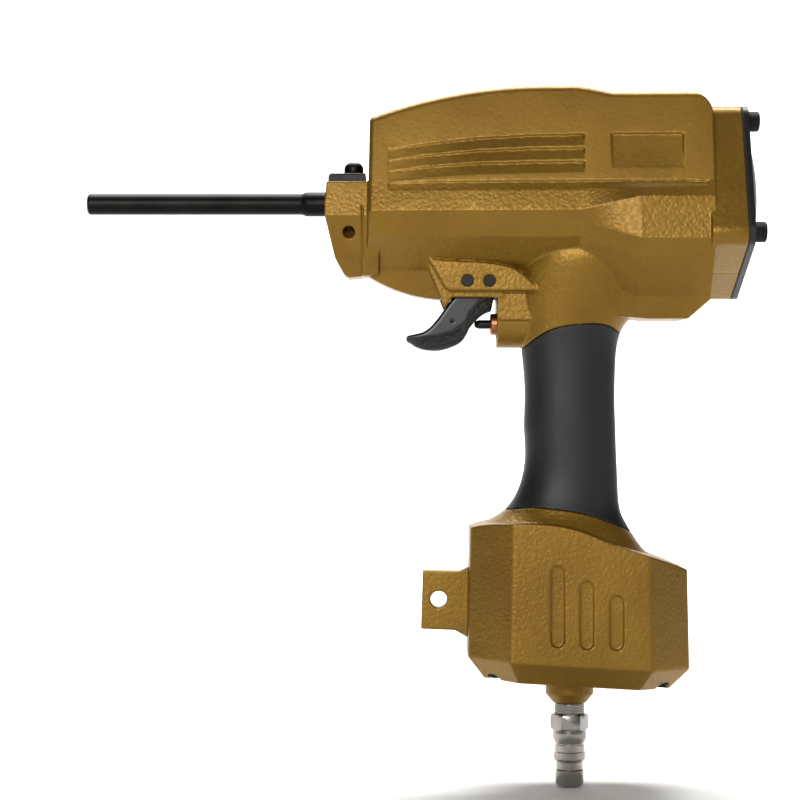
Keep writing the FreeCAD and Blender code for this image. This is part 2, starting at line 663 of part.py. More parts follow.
def panel_pocket(stations, depth):
    """Louvre cutter in the near side panel. Stations are (x, top, bottom, share of the full depth)."""
    rings = []
    for x, top, bottom, share in stations:
        points = [Vector(x, -side_half(x, top) + depth * share, top), Vector(x, -side_half(x, top) - 6, top),
                  Vector(x, -side_half(x, bottom) - 6, bottom), Vector(x, -side_half(x, bottom) + 0.07,
                          bottom)]
        rings.append(Part.makePolygon(points + points[:1]))
    return Part.makeLoft(rings, True, True)


def side_pockets():
    """Three louvres and the label recess, on both side panels."""
    front, step = value("body_front"), value("ledge_height")
    depth = value("groove_depth") + 0.3
    louvres = []
    for drop in (0, 1, 2):
        line_heights = [(8.9, 13.4 - 4.65 * drop, 0.15), (26, 15.9 - 4.9 * drop, 0.6),
                        (46, 18.0 - 5.35 * drop, 1.0),
                        (67, 19.1 - 5.7 * drop, 1.0), (90.0, 19.5 - 5.75 * drop, 1.0)]
        stations = [(front + a, step + b, step + b - 4.6, share) for a, b, share in line_heights]
        louvres.append(panel_pocket(stations, depth))
    rear = value("body_rear")
    tall, long = value("label_height"), value("label_length")
    label = panel_pocket([(rear - 42, step + 19.7, step + 19.7 - tall, 1.0),
                          (rear - 42 + long, step + 19.7, step + 19.7 - tall, 1.0)],
                         depth)
    louvres.append(label)
    ledge = [(front + 8.9, step - 0.7, step - 4, 0.3), (front + 30, step - 0.3, step - 4, 0.5),
             (front + 60, step - 0.1, step - 4, 0.8), (rear - 56, step - 0.1, step - 4, 0.9),
             (rear - 30, step - 0.1, step - 3.2, 0.9), (rear - 2.6, step - 0.4, step - 2.9, 0.9)]
    louvres.append(panel_pocket(ledge, depth))
    near = louvres[0].fuse(louvres[1:])
    return both_sides(near)


def radial(angle):
    """Direction of a nose set screw: outward and down on one side of the neck."""
    turn = math.radians(value("set_screw_angle"))
    return Vector(0, angle * math.cos(turn), -math.sin(turn))


def main_housing():
    """Cylinder housing, neck, trigger bracket and handle core as one casting."""
    hull = barrel()
    wall = handle_loft().common(above_grip())
    core = handle_loft(value("grip_wall")).common(layer(-value("handle_seam"), 0))
    shape = hull
    for piece in (neck(), collar(), trigger_bracket(), valve_block(), wall, core):
        shape = shape.fuse(piece)
    for pocket in side_pockets().Solids:
        shape = shape.cut(pocket)
    face, front, floor = value("nose_face"), value("body_front"), value("chamber_floor")
    bores = [
        rod(value("shank_od") / 2 + 0.03, face - 10, floor),
        rod(value("guide_od") / 2 + 0.02, face + value("neck_lip"), floor),
        rod(value("cylinder_bore") / 2, floor, value("liner_front")),
        rod(value("liner_radius") + value("seat_gap"), value("liner_front"),
            value("liner_front") + value("liner_seat")),
        rod(value("chamber_bore") / 2, value("liner_front") + value("liner_seat"), value("collar_front") + 7),
        rod(value("rear_bore") / 2, value("collar_front") + 7, value("collar_rear") + 10),
        rod(value("valve_od") / 2 + 0.02, value("block_front") - 1, value("valve_rear"), 0,
            -value("valve_drop")),
        air_passage(-value("handle_seam") - 1, -22),
    ]
    for index in range(4):
        y, z = (value(text) for text in bolt_place(index))
        rear = value("collar_rear")
        bores.append(rod(value("bolt_dia") / 2 + 0.02, rear - value("bolt_reach") - 1, rear + 5, y, z))
    for side in (-1, 1):
        spot = Vector(value("handle_x") + side * value("neck_screw_offset"), 0, -value("handle_seam") - 1)
        bores.append(Part.makeCylinder(value("neck_screw_dia") / 2 + 0.02, value("neck_screw_reach") + 2,
                                       spot))
        spot = radial(side) * (value("shank_od") / 2 - 1) + Vector(value("set_screw_x"), 0, 0)
        bores.append(Part.makeCylinder(value("set_screw_dia") / 2 + 0.02, 60, spot, radial(side)))
    bores.append(Part.makeCylinder(2.52, 30, Vector(value("clamp_screw_x"), 0, 2)))
    for x in (value("pivot_x"), value("stop_pin_x")):
        bores.append(Part.makeCylinder(value("pin_dia") / 2 + 0.02, 80,
                                       Vector(x, -40, -value("pin_drop")), Vector(0, 1, 0)))
    # signal drilling from the trigger valve to the head valve
    y, z, x = -12.0, -31.5, value("block_front") + 13.5
    link = Vector(0, y, z + value("valve_drop"))
    bores.append(rod(2.0, x, value("collar_rear") + 1, y, z))
    bores.append(Part.makeCylinder(2.0, link.Length, Vector(x, 0, -value("valve_drop")), link))
    half = value("slot_half")
    slot_front = value("pivot_x") - 11.0
    bores.append(Part.makeBox(value("block_front") - slot_front, 2 * half, 60,
                              Vector(slot_front, -half, -88.9)))
    for bore in bores:
        shape = shape.cut(bore)
    # parting groove round the neck, just ahead of the barrel
    groove = Part.makeBox(0.9, 80, 38, Vector(front - 2.2, -40, -40)).cut(neck(value("neck_groove")))
    shape = shape.cut(groove)
    # shadow gap between the ears and the valve block
    gap = Part.makeBox(17, 60, 0.9, Vector(value("block_front"), -30, -value("bracket_floor") - 0.9))
    shape = shape.cut(gap.cut(Part.makeBox(40, 22, 4,
                                           Vector(value("block_front") - 10, -11,
                                                  -value("bracket_floor") - 2))))
    return shape


def trigger_lever():
    """Curved finger lever that hangs from the pivot pin."""
    x, z, half = value("pivot_x"), -value("pin_drop"), value("trigger_half")

    def at(dx, dz):
        return (x + dx, z + dz)

    def curve(points):
        return smooth([at(a, b) for a, b in points])

    def arc(a, b, c):
        return Part.Arc(*[Vector(p[0], 0, p[1]) for p in (at(*a), at(*b), at(*c))]).toShape()

    edges = [
        line(at(-3.9, 0), at(-5.1, -6.2)),
        curve([(-5.1, -6.2), (-8.1, -9.4), (-11.4, -14.1), (-14.8, -18.3), (-17.8, -20.8), (-22.0, -22.1),
               (-24.9, -22.7)]),
        arc((-24.9, -22.7), (-25.8, -24.2), (-24.1, -25.9)),
        curve([(-24.1, -25.9), (-20.7, -28.0), (-16.5, -29.0), (-11.4, -29.0), (-6.4, -27.6),
               (-2.2, -25.2), (-0.5, -22.9),
               (1.2, -19.6), (3.3, -17.0), (5.4, -14.9), (10.2, -12.5)]),
        line(at(10.2, -12.5), at(11.3, -6.8)),
        line(at(11.3, -6.8), at(10.2, -5.0)),
        line(at(10.2, -5.0), at(3.9, -2.6)),
        line(at(3.9, -2.6), at(3.9, 0)),
        arc((3.9, 0), (0, 3.9), (-3.9, 0)),
    ]
    shape = curve_slab(edges, half)
    rim = edges_of(shape, lambda m, d: abs(abs(m.y) - half) < 0.01 and m.z < z - 8)
    shape = shape.makeFillet(1.4, rim)
    pin = Part.makeCylinder(value("pin_dia") / 2 + value("pin_gap"), 60, Vector(x, -30, z), Vector(0, 1, 0))
    shape = shape.cut(pin)
    # small blind dimple in each side face
    for side in (-1, 1):
        start = Vector(x - 6.2, side * (half - value("dimple_depth")), z - 16.7)
        shape = shape.cut(Part.makeCylinder(value("dimple_dia") / 2, 5, start, Vector(0, side, 0)))
    return shape


# ---------------------------------------------------------------- castings, base and grip

feature("main_housing", main_housing)
feature("air_chamber", air_chamber)
feature("chamber_base", chamber_base)
feature("chamber_gasket", seam_gasket)
feature("base_gasket", base_gasket)
feature("grip_sleeve", grip_sleeve)

# ---------------------------------------------------------------- nose

turned("barrel_tube", [
    ("0", "mouth_bore / 2"), ("0", "tube_od / 2 - muzzle_round / 2"), ("muzzle_round / 2", "tube_od / 2"),
    ("nose_face - shank_exposed - 2.2", "tube_od / 2"), ("nose_face - shank_exposed", "shank_od / 2"),
    ("nose_face + shank_seat", "shank_od / 2"), ("nose_face + shank_seat", "tube_bore / 2"),
    ("mouth_depth", "tube_bore / 2"), ("mouth_depth", "mouth_bore / 2")])
guide = turned("nose_guide_turned", [
    ("nose_face + neck_lip", "shank_od / 2 + 0.02"), ("nose_face + neck_lip", "guide_od / 2"),
    ("chamber_floor", "guide_od / 2"), ("chamber_floor", "guide_flange_od / 2"),
    ("bumper_front", "guide_flange_od / 2"), ("bumper_front", "tube_bore / 2"),
    ("nose_face + shank_seat", "tube_bore / 2"), ("nose_face + shank_seat", "shank_od / 2 + 0.02")])
del nodes["nose_guide_turned"]
guide_holes = [cylinder("guide_clamp_hole", "2.52", "12", "clamp_screw_x", "0", "2", UPRIGHT)]
for side, name in ((-1, "near"), (1, "far")):
    guide_holes.append(cylinder(f"guide_{name}_hole", "set_screw_dia / 2 + 0.02", "20", "set_screw_x",
                                turn=Rotation(Vector(0, 0, 1), radial(side))))
node("nose_guide", cut("nose_guide_drilled", guide, fuse("guide_holes", *guide_holes)))

plate = doc.addObject("Part::Box", "wear_plate_block")
clamp = doc.addObject("Part::Box", "clamp_block")
for block, start, length in ((plate, "nose_face + 1.2", "wear_plate"),
                             (clamp, "nose_face + 1.2 + wear_plate", "neck_length - 1.8 - wear_plate")):
    block.setExpression("Length", formula(length))
    block.setExpression("Width", formula("2 * clamp_half"))
    block.setExpression("Height", formula("clamp_height"))
    place(block, start, "-clamp_half", "neck_height")
doc.recompute()
rounded_plate = doc.addObject("Part::Fillet", "wear_plate_rounded")
rounded_plate.Base = plate
rounded_plate.Edges = [(2, 1.8, 1.8), (6, 0.6, 0.6), (10, 0.6, 0.6)]
node("nose_wear_plate", rounded_plate)
rounded_clamp = doc.addObject("Part::Fillet", "clamp_rounded")
rounded_clamp.Base = clamp
rounded_clamp.Edges = [(6, 0.8, 0.8), (10, 0.8, 0.8), (12, 0.8, 0.8)]
clamp_hole = cylinder("clamp_hole", "bolt_dia / 2 + bolt_hole_gap", "40", "clamp_screw_x", "0", "0", UPRIGHT)
node("nose_clamp", cut("nose_clamp_drilled", rounded_clamp, clamp_hole))

clamp_top = "neck_height + clamp_height"
clamp_screw = turned("clamp_screw_turned", [
    ("0", "shank_od / 2 + 0.3"), ("2.5", "shank_od / 2 + 0.3"), ("2.5", clamp_top), ("4.1", clamp_top),
    ("4.1", clamp_top + " + 4.3"), ("3.3", clamp_top + " + 5.1"), ("0", clamp_top + " + 5.1")],
    x="clamp_screw_x", upright=True)
del nodes["clamp_screw_turned"]
clamp_socket = hexagon("clamp_socket", "bolt_socket", "4", "clamp_screw_x", "0", clamp_top + " + 2.6",
                       UPRIGHT)
node("nose_clamp_screw", cut("nose_clamp_screw_cut", clamp_screw, clamp_socket))

set_screws = []
for side, name in ((-1, "near"), (1, "far")):
    aim = Rotation(Vector(0, 0, 1), radial(side))
    stud = cylinder(f"set_screw_{name}", "set_screw_dia / 2", "set_screw_length", "set_screw_x",
                    f"{side} * (shank_od / 2 + 0.02) * cos(set_screw_angle)",
                    "-(shank_od / 2 + 0.02) * sin(set_screw_angle)", aim)
    reach = "(shank_od / 2 + set_screw_length - 3)"
    socket = hexagon(f"set_socket_{name}", "2.5", "5", "set_screw_x",
                     f"{side} * {reach} * cos(set_screw_angle)",
                     f"-{reach} * sin(set_screw_angle)", aim)
    set_screws.append(cut(f"set_screw_{name}_cut", stud, socket))
node("nose_set_screws", group("set_screw_pair", set_screws))

# ---------------------------------------------------------------- cylinder, piston and driver

ring_mid = "collar_front + liner_collar / 2"
turned("cylinder_liner", [
    ("liner_front", "cylinder_bore / 2"), ("liner_front", "liner_radius"), ("collar_front", "liner_radius"),
    ("collar_front", "chamber_bore / 2 - seat_gap"), (ring_mid + " - 1.3", "chamber_bore / 2 - seat_gap"),
    (ring_mid + " - 1.3", "chamber_bore / 2 - ring_section"), (ring_mid + " + 1.3",
            "chamber_bore / 2 - ring_section"),
    (ring_mid + " + 1.3", "chamber_bore / 2 - seat_gap"), ("collar_front + liner_collar",
                                            "chamber_bore / 2 - seat_gap"),
    ("collar_front + liner_collar", "liner_radius"), ("liner_rear", "liner_radius"), ("liner_rear",
            "cylinder_bore / 2")])
node("liner_o_ring", ring("liner_ring", "(chamber_bore - ring_section) / 2 - 0.01",
                          "ring_section / 2 - 0.01", ring_mid))
turned("bumper", [
    ("bumper_front", "tube_bore / 2 + 0.8"), ("bumper_front", "cylinder_bore / 2 - seat_gap"),
    ("bumper_rear - 3", "cylinder_bore / 2 - seat_gap"), ("bumper_rear", "cylinder_bore / 2 - 3"),
    ("bumper_rear", "tube_bore / 2 + 3"), ("bumper_rear - 2", "tube_bore / 2 + 0.8")])
piston_mid = "piston_front + piston_length / 2"
turned("piston", [
    ("piston_front", "driver_dia / 2 + 0.02"), ("piston_front", "cylinder_bore / 2 - 2"),
    ("piston_front + 2", "cylinder_bore / 2 - running_gap"), (piston_mid + " - 1.3",
            "cylinder_bore / 2 - running_gap"),
    (piston_mid + " - 1.3", "cylinder_bore / 2 - ring_section - 0.3"), (piston_mid + " + 1.3",
            "cylinder_bore / 2 - ring_section - 0.3"),
    (piston_mid + " + 1.3", "cylinder_bore / 2 - running_gap"), ("piston_rear",
            "cylinder_bore / 2 - running_gap"),
    ("piston_rear", "cylinder_bore / 2 - 6"), ("piston_rear - 3",
                                            "cylinder_bore / 2 - 8"), ("piston_rear - 3", "0"),
    ("piston_rear - 5", "0"), ("piston_rear - 5", "driver_dia / 2 + 0.02")])
node("piston_ring", ring("piston_ring_torus", "(cylinder_bore - ring_section) / 2 - 0.3",
                         "ring_section / 2 - 0.01", piston_mid))
turned("driver_pin", [
    ("driver_tip", "0"), ("driver_tip", "driver_dia / 2 - 0.2"), ("driver_tip + 0.2", "driver_dia / 2"),
    ("piston_rear - 5.1", "driver_dia / 2"), ("piston_rear - 5.1", "0")])

# ---------------------------------------------------------------- head valve and rear cap

valve_mid = "valve_front + head_valve_disc + 4.5"
turned("head_valve", [
    ("valve_front", "0"), ("valve_front", "skirt_bore - running_gap - 1"), ("valve_front + 1",
            "skirt_bore - running_gap"),
    (valve_mid + " - 1.3", "skirt_bore - running_gap"), (valve_mid + " - 1.3",
                                            "skirt_bore - ring_section - 0.3"),
    (valve_mid + " + 1.3", "skirt_bore - ring_section - 0.3"), (valve_mid + " + 1.3",
            "skirt_bore - running_gap"),
    ("valve_front + head_valve_length", "skirt_bore - running_gap"),
    ("valve_front + head_valve_length", "skirt_bore - running_gap - head_valve_wall"),
    ("valve_front + head_valve_disc", "skirt_bore - running_gap - head_valve_wall"),
    ("valve_front + head_valve_disc", "0")])
node("head_valve_o_ring", ring("head_valve_ring", "skirt_bore - ring_section / 2 - 0.3",
                               "ring_section / 2 - 0.01", valve_mid))
feature("head_valve_spring", lambda: spring(value("head_spring_radius"), value("head_spring_wire"),
                                        value("head_spring_turns"),
                                            value("valve_front") + value("head_valve_disc") + 0.05,
                                            value("cap_inside") - 0.05))

cap_core = turned("cap_core", [
    ("cap_inside", "0"), ("cap_inside", "skirt_bore"), ("skirt_front", "skirt_bore"),
    ("skirt_front", "rear_bore / 2 - seat_gap"),
    ("cap_face", "rear_bore / 2 - seat_gap"), ("cap_face", "0")])
del nodes["cap_core"]
ball_radius = "((dome_radius ^ 2 + dome_rise ^ 2) / (2 * dome_rise))"
ball = doc.addObject("Part::Sphere", "dome_ball")
ball.setExpression("Radius", formula(ball_radius))
place(ball, f"cap_face + dome_rise - {ball_radius}")
dome = doc.addObject("Part::MultiCommon", "dome")
dome.Shapes = [ball, cylinder("dome_base", "dome_radius", "dome_rise + 2", "cap_face - 1")]
cap_plate = doc.addObject("Part::Feature", "cap_plate")
cap_plate.Shape = flange_block(value("collar_rear") + value("gasket"), value("cap_face"))
gasket_plate = doc.addObject("Part::Feature", "gasket_plate")
gasket_plate.Shape = flange_block(value("collar_rear"), value("collar_rear") + value("gasket"))
cap_holes, gasket_holes, bolts = [], [], []
for index in range(4):
    y, z = bolt_place(index)
    cap_holes.append(cylinder(f"cap_hole_{index}", "bolt_dia / 2 + bolt_hole_gap", "60",
                              "collar_rear - 20", y, z))
    gasket_holes.append(cylinder(f"gasket_hole_{index}", "bolt_dia / 2 + bolt_hole_gap", "60",
                                 "collar_rear - 20", y, z))
low_y, low_z = bolt_place(2)
cap_holes.append(cylinder("low_head_seat", "low_head_dia / 2 + 0.3", "20", "cap_face - low_head_recess",
                          low_y, low_z))
for index in (0, 1, 3):
    y, z = bolt_place(index)
    cap_holes.append(cylinder(f"head_relief_{index}", "bolt_head_dia / 2 + 0.4", "20", "cap_face", y, z))
node("cylinder_cap", cut("cap_drilled", fuse("cap_body", cap_core, cap_plate, dome),
                         fuse("cap_holes", *cap_holes)))
gasket_hole = cylinder("gasket_bore", "rear_bore / 2", "10", "collar_rear - 5")
node("cap_gasket", cut("gasket_cut", gasket_plate, fuse("gasket_cuts", gasket_hole, *gasket_holes)))

for index in (0, 1, 3):
    y, z = bolt_place(index)
    screw = turned(f"cap_bolt_{index}", [
        ("collar_rear - bolt_reach", "0"), ("collar_rear - bolt_reach", "bolt_dia / 2"), ("cap_face",
                "bolt_dia / 2"),
        ("cap_face", "bolt_head_dia / 2"), ("cap_face + bolt_head - 0.5", "bolt_head_dia / 2"),
        ("cap_face + bolt_head", "bolt_head_dia / 2 - 0.5"), ("cap_face + bolt_head", "0")], y=y, z=z)
    del nodes[f"cap_bolt_{index}"]
    socket = hexagon(f"cap_socket_{index}", "bolt_socket", "10", "cap_face + bolt_head / 2", y, z)
    bolts.append(cut(f"cap_bolt_{index}_cut", screw, socket))
node("cap_bolts", group("cap_bolt_set", bolts))
low_screw = turned("low_screw_turned", [
    ("collar_rear - bolt_reach", "0"), ("collar_rear - bolt_reach", "bolt_dia / 2"),
    ("cap_face - low_head_recess", "bolt_dia / 2"), ("cap_face - low_head_recess", "low_head_dia / 2"),
    ("cap_face - low_head_recess + low_head - 0.5", "low_head_dia / 2"),
    ("cap_face - low_head_recess + low_head", "low_head_dia / 2 - 1"),
    ("cap_face - low_head_recess + low_head", "0")],
    y=low_y, z=low_z)
del nodes["low_screw_turned"]
low_socket = hexagon("low_socket", "3", "10", "cap_face - low_head_recess + low_head - 1.2", low_y, low_z)
node("cap_low_screw", cut("low_screw_cut", low_screw, low_socket))

# ---------------------------------------------------------------- trigger and trigger valve

feature("trigger_lever", trigger_lever)
pins = [cylinder(name, "pin_dia / 2", "2 * bracket_half + 0.6", x, "-bracket_half - 0.3", "-pin_drop",
                 ALONG_Y)
        for name, x in (("pivot_pin", "pivot_x"), ("stop_pin", "stop_pin_x"))]
node("trigger_pins", group("trigger_pin_pair", pins))

valve_front = "(block_front + 0.5)"
turned("valve_body", [
    (valve_front, "bush_od / 2 + 0.02"), (valve_front, "valve_od / 2"),
    (valve_front + " + 4.2", "valve_od / 2"), (valve_front + " + 4.2", "valve_od / 2 - 1.2"),
    (valve_front + " + 6.2", "valve_od / 2 - 1.2"), (valve_front + " + 6.2", "valve_od / 2"),
    (valve_front + " + 15", "valve_od / 2"), (valve_front + " + 15", "valve_od / 2 - 1.2"),
    (valve_front + " + 17", "valve_od / 2 - 1.2"), (valve_front + " + 17", "valve_od / 2"),
    ("valve_rear", "valve_od / 2"), ("valve_rear", "1.6"), ("valve_rear - 2", "1.6"), ("valve_rear - 2",
            "valve_bore / 2"),
    ("bush_rear", "valve_bore / 2"), ("bush_rear", "bush_od / 2 + 0.02")], z="-valve_drop")
turned("valve_bush", [
    ("block_front - bush_proud", "stem_dia / 2 + running_gap"), ("block_front - bush_proud",
            "bush_od / 2 - 0.6"),
    ("block_front - bush_proud + 0.6", "bush_od / 2"), ("bush_rear", "bush_od / 2"),
    ("bush_rear", "stem_dia / 2 + running_gap")], z="-valve_drop")
plunger_back = "(bush_rear + 0.3 + plunger_head)"
turned("valve_plunger", [
    ("stem_tip", "0"), ("stem_tip + 0.25", "stem_dia / 4"), ("stem_tip + 0.9", "stem_dia / 2 - 0.4"),
    ("stem_tip + 2", "stem_dia / 2"), ("bush_rear + 0.3", "stem_dia / 2"),
    ("bush_rear + 0.3", "valve_bore / 2 - running_gap"), (plunger_back, "valve_bore / 2 - running_gap"),
    (plunger_back, "1.5"), (plunger_back + " + 3", "1.5"), (plunger_back + " + 3", "0")], z="-valve_drop")


def valve_spring():
    start = value("bush_rear") + 0.3 + value("plunger_head") + 0.05
    coil = spring(value("valve_bore") / 2 - 0.75, value("valve_spring_wire"), value("valve_spring_turns"),
                  start,
                  value("valve_rear") - 2.05)
    coil.translate(Vector(0, 0, -value("valve_drop")))
    return coil


feature("valve_spring", valve_spring)
node("valve_o_rings", group("valve_ring_pair", [
    ring(f"valve_ring_{name}", "valve_od / 2 - 0.6", "0.57", f"{valve_front} + {at}", "-valve_drop")
    for name, at in (("front", 5.2), ("rear", 16))]))

# ---------------------------------------------------------------- vertical screws and the air plug


def vertical_screw(name, x, y, seat, top, dia):
    """A socket screw that points up: its head hangs below seat and its thread ends at top."""
    head = f"({dia} * 0.9)"
    body = turned(name, [("0", f"{seat} - {dia}"), (head, f"{seat} - {dia}"), (head, seat),
                         (f"{dia} / 2", seat),
                         (f"{dia} / 2", top), ("0", top)], x=x, y=y, upright=True)
    del nodes[name]
    socket = hexagon(name + "_socket", f"{dia} * 0.75", "10", x, y, f"{seat} - {dia} / 2 - 10", UPRIGHT)
    return cut(name + "_cut", body, socket)


node("neck_screws", group("neck_screw_pair", [
    vertical_screw(f"neck_screw_{name}", f"handle_x {sign} neck_screw_offset", "0", "-neck_floor",
                   "-handle_seam + neck_screw_reach", "neck_screw_dia")
    for name, sign in (("front", "-"), ("rear", "+"))]))
across = "chamber_half - chamber_corner - 1.5"
node("base_screws", group("base_screw_set", [
    vertical_screw(f"base_screw_{number}", x, y,
                   f"-base_drop - ({x} - handle_x) * tan(base_tilt) - base_seat",
                   f"-base_drop - ({x} - handle_x) * tan(base_tilt) + 10", "base_screw_dia")
    for number, (x, y) in enumerate([(a, b) for a in ("chamber_front + base_screw_inset",
                                            "chamber_rear - base_screw_inset")
                                     for b in (f"-({across})", across)])]))

plug_turned = turned("plug_turned", [
    ("plug_bore / 2", "-boss_floor + thread_seat"), ("inlet_thread / 2", "-boss_floor + thread_seat"),
    ("inlet_thread / 2", "-boss_floor - 4.2"), ("plug_hex / 2", "-boss_floor - 4.6"),
    ("plug_hex / 2", "-boss_floor - 4.6 - plug_hex_height"), ("plug_tip_dia / 2 + 1.2",
            "-boss_floor - 4.6 - plug_hex_height"),
    ("plug_tip_dia / 2 + 1.2", "-boss_floor - 14.6"), ("plug_tip_dia / 2 + 0.25", "-boss_floor - 17"),
    ("plug_tip_dia / 2 + 0.25", "-boss_floor - 20.8"), ("plug_tip_dia / 2 + 0.8", "-boss_floor - 21.2"),
    ("plug_tip_dia / 2 + 0.8", "-boss_floor - 23.9"), ("plug_tip_dia / 2 - 0.4", "-boss_floor - 25.2"),
    ("plug_tip_dia / 2 - 0.4", "-boss_floor - 28"), ("plug_tip_dia / 2", "-boss_floor - 28.6"),
    ("plug_tip_dia / 2", "-boss_floor - plug_length + 11"), ("plug_tip_dia / 2 - 1.2",
            "-boss_floor - plug_length + 9.9"),
    ("plug_bore / 2 + 0.8", "-boss_floor - plug_length + 9.9"), ("plug_bore / 2",
            "-boss_floor - plug_length + 10.7")],
    x="handle_x", upright=True)
del nodes["plug_turned"]
plug_nut = hexagon("plug_nut", "plug_hex", "plug_hex_height", "handle_x", "0",
                   "-boss_floor - 4.8 - plug_hex_height", UPRIGHT)
plug_hole = cylinder("plug_hole", "plug_bore / 2", "80", "handle_x", "0", "-boss_floor - 60", UPRIGHT)
node("air_plug", cut("plug_bored", fuse("plug_body", plug_turned, plug_nut), plug_hole))

# ---------------------------------------------------------------- check and write

doc.recompute()
for label, item in nodes.items():
    if any(word in item.State for word in ("Invalid", "Error")):
        raise RuntimeError(f"{label} did not compute: {item.State}")
    if item.Shape.isNull() or not item.Shape.isValid():
        raise RuntimeError(f"{label} has no valid shape")
os.makedirs("parts", exist_ok=True)
for label, item in nodes.items():
    item.Shape.exportStep(f"parts/{label}.step")
    box = item.Shape.BoundBox
    print(f"{label:20s} solids {len(item.Shape.Solids)} volume {item.Shape.Volume:10.1f}  "
          f"X {box.XMin:7.2f} {box.XMax:7.2f}  Y {box.YMin:7.2f} {box.YMax:7.2f}  "
          f"Z {box.ZMin:7.2f} {box.ZMax:7.2f}")
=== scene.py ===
"""Looks of a pneumatic single-shot nail gun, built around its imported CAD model.

X runs back along the driver axis from the muzzle, Z is up and -Y faces the viewer. Blender works in
metres, so MM turns a size in millimetres into metres.
"""
import json
import math

import bpy
from mathutils import Matrix, Vector


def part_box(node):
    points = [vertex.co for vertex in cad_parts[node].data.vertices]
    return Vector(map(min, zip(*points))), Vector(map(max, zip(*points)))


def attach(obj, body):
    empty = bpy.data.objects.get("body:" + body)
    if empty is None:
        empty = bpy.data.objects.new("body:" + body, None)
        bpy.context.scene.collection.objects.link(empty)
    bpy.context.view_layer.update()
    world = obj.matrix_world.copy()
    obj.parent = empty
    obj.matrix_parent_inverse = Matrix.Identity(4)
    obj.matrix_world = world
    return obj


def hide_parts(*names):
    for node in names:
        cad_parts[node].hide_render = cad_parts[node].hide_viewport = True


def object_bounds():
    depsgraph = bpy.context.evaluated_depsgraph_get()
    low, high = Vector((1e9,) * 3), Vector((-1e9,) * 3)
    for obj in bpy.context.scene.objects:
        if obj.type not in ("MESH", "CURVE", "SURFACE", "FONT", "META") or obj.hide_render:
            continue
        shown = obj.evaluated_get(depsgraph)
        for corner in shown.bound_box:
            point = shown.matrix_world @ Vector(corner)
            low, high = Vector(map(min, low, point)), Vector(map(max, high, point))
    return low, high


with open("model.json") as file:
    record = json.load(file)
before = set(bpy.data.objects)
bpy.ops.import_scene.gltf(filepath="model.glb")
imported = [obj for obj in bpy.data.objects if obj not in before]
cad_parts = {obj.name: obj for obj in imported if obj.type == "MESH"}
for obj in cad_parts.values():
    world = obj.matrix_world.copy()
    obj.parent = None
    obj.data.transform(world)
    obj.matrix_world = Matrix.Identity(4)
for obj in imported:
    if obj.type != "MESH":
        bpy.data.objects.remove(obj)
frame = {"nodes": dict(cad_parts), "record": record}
cad_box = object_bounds()

MM = 0.001
UPRIGHT = Matrix.Identity(4)
ALONG_X = Matrix.Rotation(math.radians(90), 4, "Y")


# ---------------------------------------------------------------- selecting and changing meshes

def deselect_all():
    if bpy.context.mode != "OBJECT":
        bpy.ops.object.mode_set(mode="OBJECT")
    bpy.ops.object.select_all(action="DESELECT")


def pick(piece):
    """Makes one piece the only selected and active one."""
    deselect_all()
    piece.select_set(True)
    bpy.context.view_layer.objects.active = piece


def apply_modifier(piece, kind, **settings):
    """Adds a modifier with its settings and applies it."""
    pick(piece)
    modifier = piece.modifiers.new(kind.lower(), kind)
    for key, setting in settings.items():
        setattr(modifier, key, setting)
    bpy.ops.object.modifier_apply(modifier=modifier.name)


def smooth_shading(piece, degrees):
    pick(piece)
    bpy.ops.object.shade_smooth_by_angle(angle=math.radians(degrees))


def select_vertices(piece, wanted):
    """Enters edit mode with just the vertices selected whose place, in mm, satisfies wanted."""
    pick(piece)
    bpy.ops.object.mode_set(mode="EDIT")
    bpy.ops.mesh.select_all(action="DESELECT")
    bpy.ops.mesh.select_mode(type="VERT")
    bpy.ops.object.mode_set(mode="OBJECT")
    for vertex in piece.data.vertices:
        if wanted(vertex.co / MM):
            vertex.select = True
    bpy.ops.object.mode_set(mode="EDIT")


def settle(piece, turn, place):
    """Turns and moves a piece into the row frame and leaves its object at the origin."""
    deselect_all()
    piece.matrix_world = Matrix.Translation(Vector(place) * MM) @ turn
    piece.select_set(True)
    bpy.context.view_layer.objects.active = piece
    bpy.ops.object.transform_apply(location=True, rotation=True, scale=True)


def merged_copy(node, name):
    """A separate copy of a CAD node's mesh with its doubled vertices merged."""
    piece = bpy.data.objects.new(name, frame["nodes"][node].data.copy())
    bpy.context.scene.collection.objects.link(piece)
    pick(piece)
    bpy.ops.object.mode_set(mode="EDIT")
    bpy.ops.mesh.select_all(action="SELECT")
    bpy.ops.mesh.remove_doubles(threshold=0.01 * MM)
    bpy.ops.mesh.normals_make_consistent(inside=False)
    bpy.ops.object.mode_set(mode="OBJECT")
    return piece


def moulded(name, nodes, grain, softening, most_faces):
    """One casting or moulding over CAD nodes, with its hard edges rounded as they come off the tool.

    grain is the remesh size and softening the number of smoothing passes.
    """
    copies = [merged_copy(node, f"{name}_{index}") for index, node in enumerate(nodes)]
    deselect_all()
    for copy in copies:
        copy.select_set(True)
    bpy.context.view_layer.objects.active = copies[0]
    if len(copies) > 1:
        bpy.ops.object.join()
    piece = copies[0]
    piece.name = name
    apply_modifier(piece, "REMESH", mode="VOXEL", voxel_size=grain)
    apply_modifier(piece, "SMOOTH", factor=0.5, iterations=softening)
    triangles = 2 * len(piece.data.polygons)
    if triangles > most_faces:
        apply_modifier(piece, "DECIMATE", decimate_type="COLLAPSE", ratio=most_faces / triangles)
    smooth_shading(piece, 60)
    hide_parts(*nodes)
    return piece


